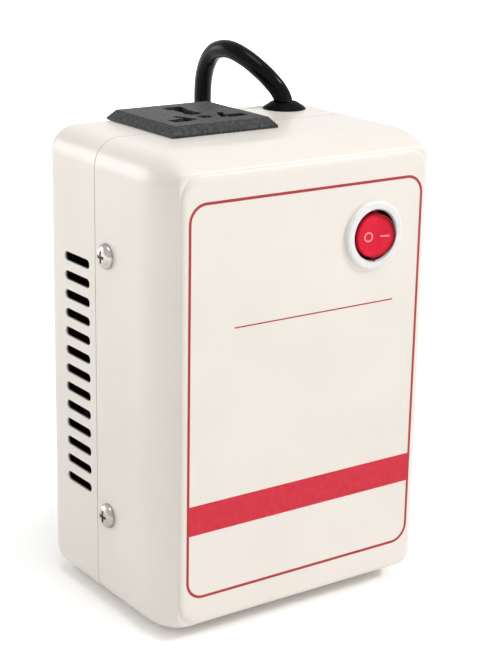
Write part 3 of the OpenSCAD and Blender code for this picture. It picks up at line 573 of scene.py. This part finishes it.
def make_cord(paint):
    route = cord_route()
    line = bpy.data.curves.new("mains_lead", "CURVE")
    line.dimensions = "3D"
    line.bevel_depth = CORD_DIAMETER/2*MM
    line.bevel_resolution = CORD_ROUND
    line.resolution_u = CORD_STEPS
    line.use_fill_caps = True
    spline = line.splines.new("BEZIER")
    spline.bezier_points.add(len(route) - 1)
    for point, place in zip(spline.bezier_points, route):
        point.co = Vector(place)*MM
        point.handle_left_type = "AUTO"
        point.handle_right_type = "AUTO"
    lead = bpy.data.objects.new("mains_lead", line)
    bpy.context.collection.objects.link(lead)
    line.materials.append(paint["cord_black"])
    bpy.context.view_layer.update()
    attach(lead, "converter")
    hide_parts("cord_lead", "cord_coil", "cord_tail")


# Side screws


def cut_with(piece, tool, operation):
    """Joins a tool to a piece, or cuts it out, and removes the tool."""
    make_active(piece)
    step = piece.modifiers.new("cut", "BOOLEAN")
    step.operation = operation
    step.object = tool
    step.solver = "EXACT"
    bpy.ops.object.modifier_apply(modifier="cut")
    bpy.data.objects.remove(tool)


def draw_rings(section):
    """Extrudes the selected ring through the other rings of a section, and turns all faces outwards."""
    for (wide, high), (next_wide, next_high) in zip(section, section[1:]):
        rise = (next_high - high)*MM
        bpy.ops.mesh.extrude_region_move(TRANSFORM_OT_translate={"value": (0, 0, rise)})
        grow = next_wide/wide
        bpy.ops.transform.resize(value=(grow, grow, 1), center_override=(0, 0, 0))
    bpy.ops.mesh.select_all(action="SELECT")
    bpy.ops.mesh.remove_doubles(threshold=MERGE_BELOW*MM)
    bpy.ops.mesh.normals_make_consistent(inside=False)
    bpy.ops.object.mode_set(mode="OBJECT")


def domed_screw():
    """One screw along +Z with its seat at the origin: a domed head, a cross recess and a shank."""
    deselect_all()
    bpy.ops.mesh.primitive_circle_add(vertices=SCREW_SIDES, radius=SCREW_HEAD_R*MM, fill_type="NGON")
    screw = bpy.context.object
    bpy.ops.object.mode_set(mode="EDIT")
    bpy.ops.mesh.select_all(action="SELECT")
    section = [(SCREW_HEAD_R, 0)]
    for ring in range(1, SCREW_DOME_RINGS):
        angle = math.pi/2*ring/SCREW_DOME_RINGS
        wide = math.cos(angle)**(2/SCREW_DOME_POWER)
        high = math.sin(angle)**(2/SCREW_DOME_POWER)
        section.append((wide*SCREW_HEAD_R, high*SCREW_HEAD_H))
    draw_rings(section)
    deselect_all()
    bpy.ops.mesh.primitive_cylinder_add(
        vertices=SHANK_SIDES, radius=SHANK_R*MM, depth=(SHANK_L + SHANK_IN_HEAD)*MM,
        location=(0, 0, (SHANK_IN_HEAD - SHANK_L)/2*MM))
    cut_with(screw, bpy.context.object, "UNION")
    for turn in (0, math.pi/2):
        deselect_all()
        bpy.ops.mesh.primitive_cube_add(
            size=1, location=(0, 0, SCREW_HEAD_H*MM), rotation=(0, 0, turn),
            scale=(RECESS_L*MM, RECESS_W*MM, 2*RECESS_DEEP*MM))
        cut_with(screw, bpy.context.object, "DIFFERENCE")
    make_active(screw)
    bpy.ops.object.shade_smooth_by_angle(angle=SMOOTH_BELOW)
    return screw


def make_side_screws(paint):
    screw = domed_screw()
    screws = []
    for side in (-1, 1):
        for level in SCREW_LEVELS:
            copy = bpy.data.objects.new("side_screw", screw.data.copy())
            bpy.context.collection.objects.link(copy)
            place = Matrix.Translation(Vector((side*CASE_W/2, SCREW_Y, level))*MM)
            copy.matrix_world = place @ Matrix.Rotation(side*math.pi/2, 4, "Y")
            screws.append(copy)
    bpy.data.objects.remove(screw)
    for copy in screws:
        put_in_mesh(copy)
    deselect_all()
    for copy in screws:
        copy.select_set(True)
    bpy.context.view_layer.objects.active = screws[0]
    bpy.ops.object.join()
    joined = bpy.context.object
    joined.name = "side_screws"
    finish_piece(joined, "converter", paint["screw_nickel"])
    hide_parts("case_screws")


# Gland


def make_gland(paint):
    """Soft cone around the lead, with a neck in the hole and a flange under the top."""
    deselect_all()
    first_r, first_z = GLAND_SECTION[0]
    bpy.ops.mesh.primitive_circle_add(
        vertices=GLAND_SIDES, radius=first_r*MM, location=(0, 0, first_z*MM))
    gland = bpy.context.object
    gland.name = "lead_gland"
    put_in_mesh(gland)
    bpy.ops.object.mode_set(mode="EDIT")
    bpy.ops.mesh.select_all(action="SELECT")
    draw_rings(GLAND_SECTION + GLAND_SECTION[:1])
    gland.location = Vector(GLAND_AT)*MM
    put_in_mesh(gland)
    bpy.ops.object.shade_smooth_by_angle(angle=SMOOTH_BELOW)
    finish_piece(gland, "converter", paint["gland_rubber"])
    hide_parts("cord_gland")


# Print


def panel_plate(name, left, right, low, high, radius=0):
    """A flat plate just in front of the panel, with round corners if asked."""
    deselect_all()
    bpy.ops.mesh.primitive_plane_add(
        size=1, location=((left + right)/2*MM, (FRONT_Y - PRINT_LIFT)*MM, (low + high)/2*MM),
        rotation=(math.pi/2, 0, 0))
    plate = bpy.context.object
    plate.name = name
    plate.scale = ((right - left)*MM, (high - low)*MM, 1)
    put_in_mesh(plate)
    if radius:
        bpy.ops.object.mode_set(mode="EDIT")
        bpy.ops.mesh.select_all(action="SELECT")
        bpy.ops.mesh.bevel(offset=radius*MM, segments=OUTLINE_CORNER_STEPS, affect="VERTICES")
        bpy.ops.object.mode_set(mode="OBJECT")
    return plate


def open_middle(plate, line):
    """Leaves only a line along the edge of a plate."""
    make_active(plate)
    bpy.ops.object.mode_set(mode="EDIT")
    bpy.ops.mesh.select_all(action="SELECT")
    bpy.ops.mesh.inset(thickness=line*MM, depth=0)
    bpy.ops.mesh.delete(type="FACE")
    bpy.ops.object.mode_set(mode="OBJECT")


def give_thickness(plate, depth):
    """Pulls a flat plate out to a thin closed film, its back towards the panel."""
    make_active(plate)
    film = plate.modifiers.new("film", "SOLIDIFY")
    film.thickness = depth*MM
    film.offset = -1
    bpy.ops.object.modifier_apply(modifier="film")


def finish_piece(piece, body, material):
    piece.data.materials.clear()
    piece.data.materials.append(material)
    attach(piece, body)


def make_print():
    line_ink = ink_red("outline_ink", (0.420, 0.045, 0.047), (0.470, 0.058, 0.060))
    band_ink = ink_red("band_ink", (0.620, 0.030, 0.052), (0.690, 0.042, 0.066))
    half = OUTLINE_W/2
    grow = OUTLINE_LINE/2
    outline = panel_plate(
        "panel_outline", -half - grow, half + grow, OUTLINE_LOW - grow, OUTLINE_HIGH + grow, OUTLINE_R)
    open_middle(outline, OUTLINE_LINE)
    give_thickness(outline, PRINT_LIFT)
    finish_piece(outline, "converter", line_ink)
    band = panel_plate("panel_band", grow - half, half - grow, BAND_LOW, BAND_HIGH)
    give_thickness(band, PRINT_LIFT)
    finish_piece(band, "converter", band_ink)
    rule = panel_plate(
        "panel_rule", RULE_LEFT, RULE_RIGHT, RULE_Z - RULE_LINE/2, RULE_Z + RULE_LINE/2)
    give_thickness(rule, PRINT_LIFT)
    finish_piece(rule, "converter", line_ink)


def on_rocker(side):
    """Place on the rocker's left or right half for a mark that is drawn flat at the origin."""
    half = Matrix.Rotation(-side*math.radians(ROCKER_VEE), 4, "Y")
    lift = Matrix.Translation(Vector((0, 0, ROCKER_MID*MM)))
    out = Matrix.Translation(Vector((side*MARK_OFF_MIDDLE*MM, 0, PRINT_LIFT*MM)))
    turn = Matrix.Rotation(-math.radians(ROCKER_TILT), 4, "Y")
    stand = Matrix.Rotation(math.pi/2, 4, "X")
    place = Matrix.Translation(Vector((SWITCH_X, FRONT_Y, SWITCH_Z))*MM)
    return place @ stand @ turn @ lift @ half @ out


def make_rocker_marks():
    white = moulded("mark_white", (0.84, 0.27, 0.31), (0.90, 0.35, 0.39), 900, 0.00002, 0.3, 0.4)
    deselect_all()
    bpy.ops.mesh.primitive_circle_add(
        vertices=MARK_RING_SIDES, radius=MARK_RING_R*MM, fill_type="NGON")
    ring = bpy.context.object
    ring.name = "mark_off"
    open_middle(ring, MARK_LINE)
    ring.matrix_world = on_rocker(-1)
    put_in_mesh(ring)
    give_thickness(ring, PRINT_LIFT)
    finish_piece(ring, "rocker", white)
    deselect_all()
    bpy.ops.mesh.primitive_plane_add(size=1)
    dash = bpy.context.object
    dash.name = "mark_on"
    dash.scale = (MARK_DASH*MM, MARK_LINE*MM, 1)
    put_in_mesh(dash)
    dash.matrix_world = on_rocker(1)
    put_in_mesh(dash)
    give_thickness(dash, PRINT_LIFT)
    finish_piece(dash, "rocker", white)


# Studio


def make_camera():
    turn = math.radians(CAMERA_TURN)
    down = math.radians(CAMERA_DOWN)
    roll = math.radians(CAMERA_ROLL)
    ahead = Vector((math.sin(turn)*math.cos(down), math.cos(turn)*math.cos(down), -math.sin(down)))
    right = Vector((math.cos(turn), -math.sin(turn), 0))
    up = right.cross(ahead)
    side = math.cos(roll)*right + math.sin(roll)*up
    top = math.cos(roll)*up - math.sin(roll)*right
    lens = bpy.data.cameras.new("camera")
    lens.lens = CAMERA_LENS
    lens.sensor_width = CAMERA_SENSOR
    lens.clip_end = CAMERA_FAR
    camera = bpy.data.objects.new("camera", lens)
    bpy.context.collection.objects.link(camera)
    place = Matrix((side, top, -ahead)).transposed().to_4x4()
    place.translation = Vector(CAMERA_AT)*MM
    camera.matrix_world = place
    bpy.context.scene.camera = camera


def make_floor():
    deselect_all()
    bpy.ops.mesh.primitive_plane_add(size=FLOOR_SIZE, location=(0, 0, 0))
    floor = bpy.context.object
    floor.name = "studio_floor"
    f = Finish("studio_white")
    f.set(roughness=FLOOR_ROUGH, base_color=(FLOOR_GREY, FLOOR_GREY, FLOOR_GREY, 1))
    glow = f.node("ShaderNodeEmission", Color=(1, 1, 1, 1))
    glow_level = f.ramp(f.vector("LENGTH", f.place), GLOW_FROM, GLOW_FULL, 0, 1)
    f.links.new(glow_level, glow.inputs["Strength"])
    bright = f.node("ShaderNodeBsdfDiffuse", Color=(FLOOR_PALER, FLOOR_PALER, FLOOR_PALER, 1))
    paler = f.nodes.new("ShaderNodeAddShader")
    f.links.new(f.shader.outputs["BSDF"], paler.inputs[0])
    f.links.new(bright.outputs["BSDF"], paler.inputs[1])
    both = f.nodes.new("ShaderNodeAddShader")
    f.links.new(paler.outputs["Shader"], both.inputs[0])
    f.links.new(glow.outputs["Emission"], both.inputs[1])
    seen = f.nodes.new("ShaderNodeMixShader")
    f.links.new(f.seen_rays(), seen.inputs["Fac"])
    f.links.new(f.shader.outputs["BSDF"], seen.inputs[1])
    f.links.new(both.outputs["Shader"], seen.inputs[2])
    f.links.new(seen.outputs["Shader"], f.nodes["Material Output"].inputs["Surface"])
    floor.data.materials.append(f.material)


def make_world():
    world = bpy.data.worlds.new("studio")
    bpy.context.scene.world = world
    world.use_nodes = True
    nodes = world.node_tree.nodes
    links = world.node_tree.links
    sky = nodes["Background"]
    sky.inputs["Color"].default_value = (1, 1, 1, 1)
    level = nodes.new("ShaderNodeMapRange")
    level.inputs["To Min"].default_value = WORLD_LEVEL
    level.inputs["To Max"].default_value = 1.0
    links.new(add_seen_rays(nodes, links), level.inputs["Value"])
    links.new(level.outputs["Result"], sky.inputs["Strength"])


def soft_light(name, place, aim, size, power, tint):
    lamp = bpy.data.lights.new(name, "AREA")
    lamp.shape = "DISK"
    lamp.size = size
    lamp.energy = power
    lamp.color = tint
    light = bpy.data.objects.new(name, lamp)
    bpy.context.collection.objects.link(light)
    light.location = place
    light.rotation_euler = (Vector(aim) - Vector(place)).to_track_quat("-Z", "Y").to_euler()


def make_lights():
    for name, values in LAMPS.items():
        soft_light(name, *values)


def main():
    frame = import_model()
    paint = finishes()
    dress_nodes(frame, paint)
    make_cord(paint)
    make_gland(paint)
    make_side_screws(paint)
    make_print()
    make_rocker_marks()
    make_camera()
    make_floor()
    make_world()
    make_lights()
    bpy.context.scene.view_settings.view_transform = "Standard"


main()
